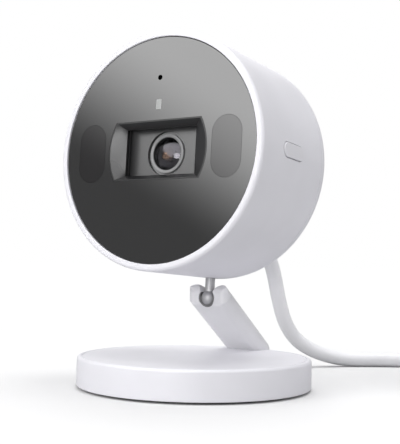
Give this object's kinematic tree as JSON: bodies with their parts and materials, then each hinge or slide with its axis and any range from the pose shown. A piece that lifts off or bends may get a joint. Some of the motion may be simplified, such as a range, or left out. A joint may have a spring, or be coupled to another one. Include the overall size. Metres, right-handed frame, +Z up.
{
  "type": "security camera",
  "caption": "Indoor security camera: round head on a ball joint, arm and weighted disc base, with a side button, a sliding privacy shutter and a USB lead.",
  "frame": {"origin": "centre of the base's underside", "axes": "+Z up, the camera looks along -Y, the USB port and the lead are on the +Y side"},
  "size_m": [0.1466, 0.1332, 0.0977],
  "materials": {
    "white_satin": "satin moulded",
    "white_arm": "fine satin",
    "white_base": "satin moulded",
    "white_button": "satin",
    "panel_gloss": "polished dark, slightly see-through to infra-red",
    "ir_gloss": "polished, infra-red pass",
    "dark_matte": "fine matte",
    "grey_matte": "fine matte",
    "frame_grey": "moulded, dull",
    "ring_metal": "turned, dark",
    "lens_black": "flocked matte",
    "lens_glass": "coated, violet reflection",
    "clear_plastic": "clear moulded",
    "magnet_steel": "nickel plated",
    "copper_coil": "enamelled winding",
    "board_green": "solder mask",
    "chip_black": "moulded epoxy",
    "shield_steel": "stamped tin plate",
    "sink_aluminium": "extruded",
    "gasket_foam": "soft foam",
    "speaker_cone": "pressed cone",
    "screw_steel": "zinc plated",
    "ball_steel": "ground",
    "stem_steel": "ground",
    "bush_plastic": "acetal",
    "ballast_iron": "dull cast",
    "plate_grey": "moulded",
    "foot_rubber": "dull",
    "cord_jacket": "satin jacket",
    "cord_white": "satin overmould",
    "tie_black": "ribbed",
    "plug_steel": "nickel plated"
  },
  "bodies": {
    "base": {"base_cover": "white_base", "base_plate": "plate_grey", "ballast_plate": "ballast_iron", "foot_ring": "foot_rubber", "stand_arm": "white_arm", "socket_insert": "bush_plastic", "arm_screws": "screw_steel", "base_screws": "screw_steel", "cord_run": "cord_jacket", "cord_coil": "cord_jacket", "coil_tie": "tie_black", "cord_tail": "cord_jacket", "usb_plug_body": "cord_white", "usb_plug_shell": "plug_steel"},
    "ball": {"ball": "ball_steel"},
    "stem": {"stem": "stem_steel", "stem_clip": "screw_steel"},
    "head": {"housing_sleeve": "white_satin", "rear_cover": "white_satin", "face_panel": "panel_gloss", "ir_window_left": "ir_gloss", "ir_window_right": "ir_gloss", "window_bezel": "dark_matte", "shutter_guide": "frame_grey", "shutter_coil": "copper_coil", "chassis": "frame_grey", "lens_plate": "grey_matte", "lens_ring": "ring_metal", "lens_barrel": "lens_black", "lens_glass": "lens_glass", "rear_element": "lens_glass", "ir_cut_filter": "lens_glass", "lens_holder": "lens_black", "image_sensor": "chip_black", "sensor_board": "board_green", "front_board": "board_green", "ir_leds": "clear_plastic", "microphone": "shield_steel", "mic_gasket": "gasket_foam", "light_pipe": "clear_plastic", "status_led": "clear_plastic", "main_board": "board_green", "processor_chip": "chip_black", "wifi_shield": "shield_steel", "heat_spreader": "sink_aluminium", "antenna": "board_green", "speaker": "speaker_cone", "speaker_gasket": "gasket_foam", "usb_socket": "plug_steel", "rear_screws": "screw_steel", "button_switch": "chip_black", "button_board": "board_green", "stem_mount": "frame_grey", "stem_bush": "bush_plastic", "head_plug": "cord_white", "head_plug_tip": "plug_steel", "cord_relief": "cord_white"},
    "button": {"side_button": "white_button"},
    "shutter": {"shutter_blade": "dark_matte", "shutter_magnet": "magnet_steel"}
  },
  "joints": [
    {"name": "head_lean", "type": "hinge", "parent": "base", "child": "ball", "pos_m": [0, 0.00745, 0.02495], "axis": [0, 1, 0], "range_deg": [-6, 6], "deforming": ["cord_run"]},
    {"name": "head_tilt", "type": "hinge", "parent": "ball", "child": "stem", "pos_m": [0, 0.00745, 0.02495], "axis": [1, 0, 0], "range_deg": [-20, 40], "deforming": ["cord_run"]},
    {"name": "head_pan", "type": "hinge", "parent": "stem", "child": "head", "pos_m": [0, 0.00745, 0.02495], "axis": [0, 0.0607, 0.9982], "range_deg": [-45, 45], "deforming": ["cord_run"]},
    {"name": "button_press", "type": "slide", "parent": "head", "child": "button", "axis": [-1, 0, 0], "range_m": [0, 0.0006], "stiffness_N_per_m": 3000},
    {"name": "shutter_slide", "type": "slide", "parent": "head", "child": "shutter", "axis": [0, 0.0607, 0.9982], "range_m": [0, 0.0143]}
  ]
}
